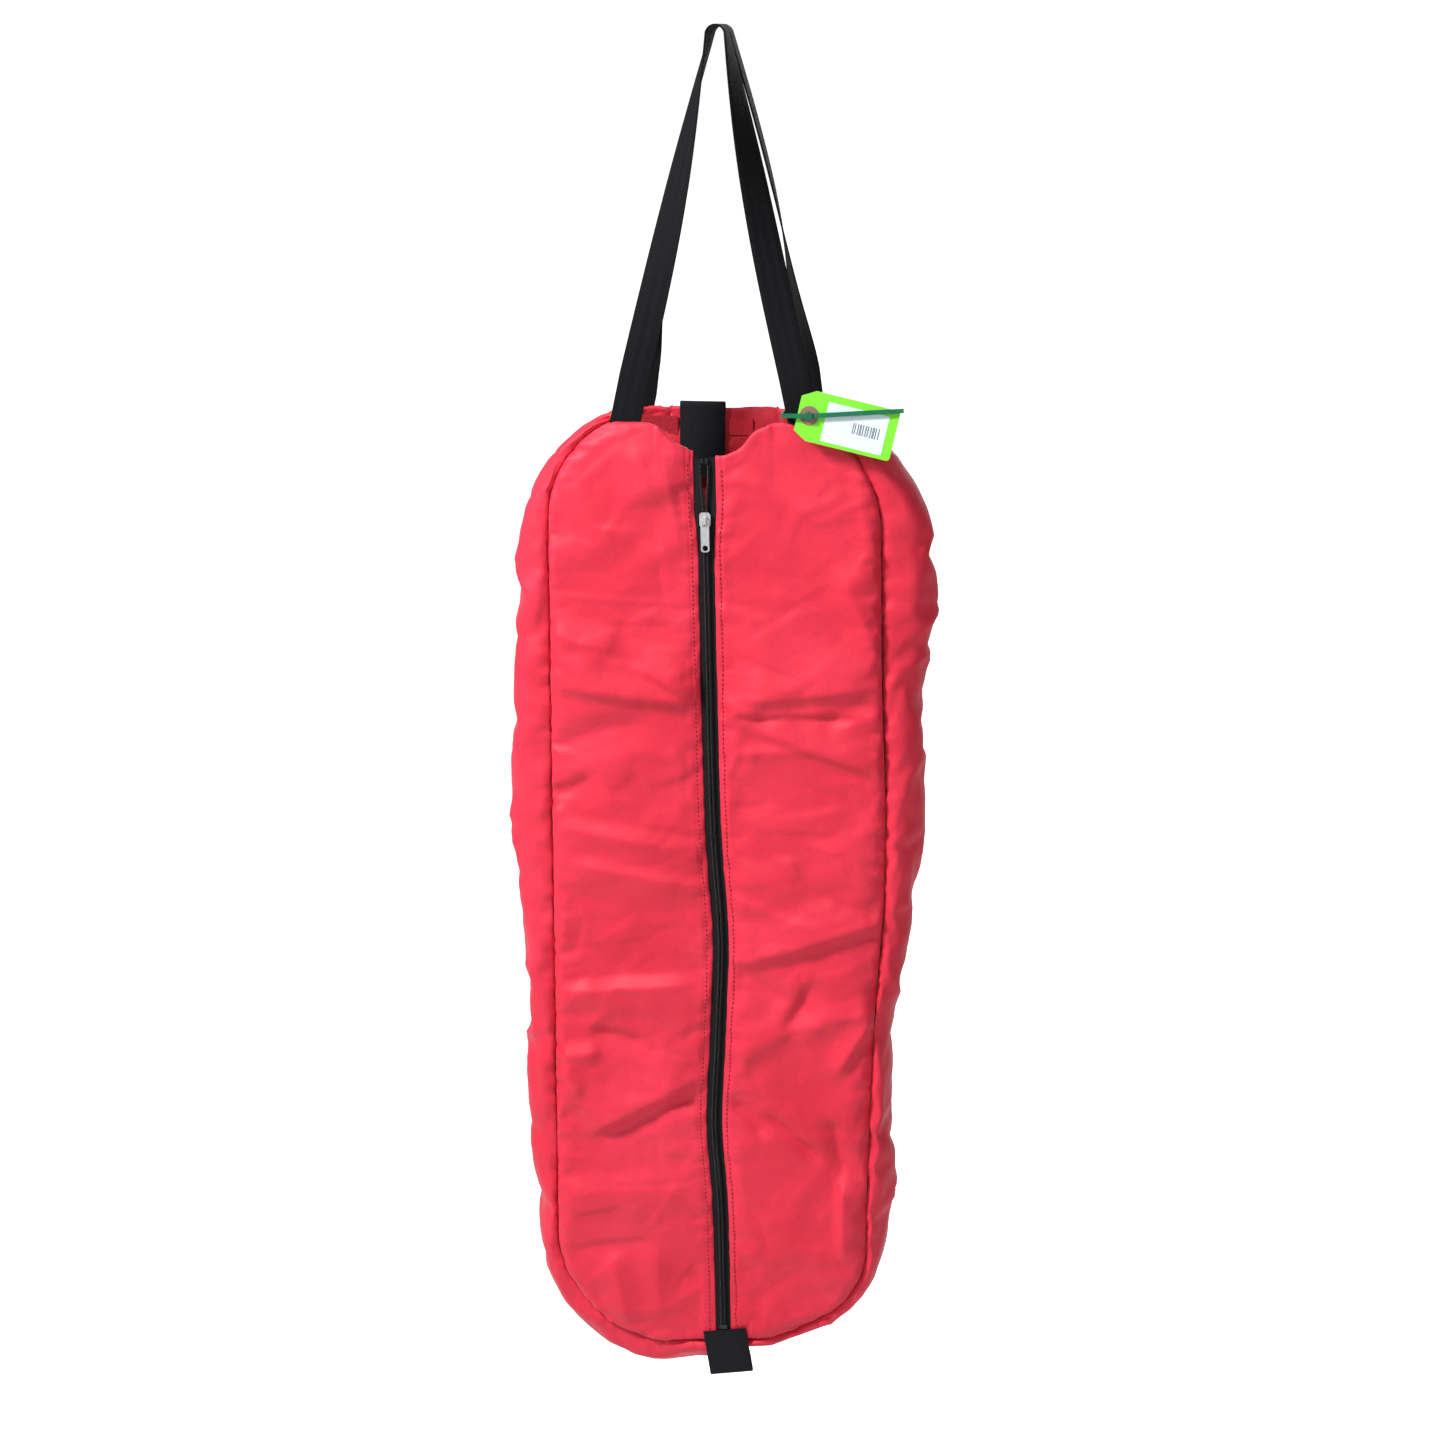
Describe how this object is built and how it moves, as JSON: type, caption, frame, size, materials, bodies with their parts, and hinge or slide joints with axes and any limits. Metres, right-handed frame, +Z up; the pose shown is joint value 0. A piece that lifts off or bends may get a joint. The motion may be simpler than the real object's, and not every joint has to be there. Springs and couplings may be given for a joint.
{
  "type": "hanging tack bag",
  "caption": "Long padded nylon bag with a full-length front zip, an open mouth and webbing loops to hang it from a hook.",
  "frame": {"origin": "the hang point: the underside of the two webbing loops where they lie over a hook", "axes": "+Z up as the bag hangs, -Y out of the zipped front, +X to the right as the zip is seen"},
  "size_m": [0.3298, 0.0883, 1.151],
  "materials": {
    "shell_nylon": "satin",
    "lining": "satin",
    "padding_foam": "matt",
    "binding": "matt",
    "zip_tape": "matt",
    "zip_coil": "satin",
    "zip_stop": "satin",
    "slider_metal": "satin",
    "pull_metal": "satin",
    "webbing": "matt",
    "broad_webbing": "matt",
    "hook_and_loop": "matt",
    "tag_card": "matt",
    "tag_fibre": "matt",
    "tag_label": "matt",
    "tie_plastic": "satin"
  },
  "bodies": {
    "bag": {"front_left_shell": "shell_nylon", "front_left_padding": "padding_foam", "front_left_lining": "lining", "front_right_shell": "shell_nylon", "front_right_padding": "padding_foam", "front_right_lining": "lining", "back_shell": "shell_nylon", "back_padding": "padding_foam", "back_lining": "lining", "gusset_shell": "shell_nylon", "gusset_padding": "padding_foam", "gusset_lining": "lining", "front_seam_binding": "binding", "back_seam_binding": "binding", "zipper_tape_left": "zip_tape", "zipper_tape_right": "zip_tape", "zipper_coil_left": "zip_coil", "zipper_coil_right": "zip_coil", "zipper_top_stops": "zip_stop", "zipper_bottom_stop": "zip_stop", "front_loop_ends": "webbing", "back_loop_ends": "webbing", "mouth_strap_end": "broad_webbing", "bottom_tab": "broad_webbing", "hook_and_loop_patch": "hook_and_loop", "reinforcement_patch": "shell_nylon", "tag_tie": "tie_plastic"},
    "zipper_slider": {"zipper_slider": "slider_metal"},
    "zipper_pull": {"zipper_pull": "pull_metal"},
    "front_loop": {"front_loop": "webbing"},
    "back_loop": {"back_loop": "webbing"},
    "mouth_strap": {"mouth_strap": "broad_webbing"},
    "tag": {"tag_card": "tag_card", "tag_eyelet": "tag_fibre", "tag_label": "tag_label"}
  },
  "joints": [
    {"name": "zip_travel", "type": "slide", "parent": "bag", "child": "zipper_slider", "axis": [0.0209, 0, -0.9998], "range_m": [-0.037, 0.7]},
    {"name": "pull_swing", "type": "hinge", "parent": "zipper_slider", "child": "zipper_pull", "pos_m": [-0.00695, -0.0372, -0.39107], "axis": [-0.9998, 0, -0.0209], "range_deg": [0, 170]},
    {"name": "front_loop_fold", "type": "hinge", "parent": "bag", "child": "front_loop", "pos_m": [0, -0.0309, -0.275], "axis": [1, 0, 0], "range_deg": [0, 100]},
    {"name": "back_loop_fold", "type": "hinge", "parent": "bag", "child": "back_loop", "pos_m": [0, 0.0309, -0.296], "axis": [-1, 0, 0], "range_deg": [0, 145]},
    {"name": "mouth_strap_fold", "type": "hinge", "parent": "bag", "child": "mouth_strap", "pos_m": [-0.018, 0.0309, -0.305], "axis": [-1, 0, 0], "range_deg": [0, 175]},
    {"name": "tag_swing", "type": "hinge", "parent": "bag", "child": "tag", "pos_m": [0.079, -0.046, -0.303], "axis": [0, 1, 0], "range_deg": [-12, 70]}
  ]
}
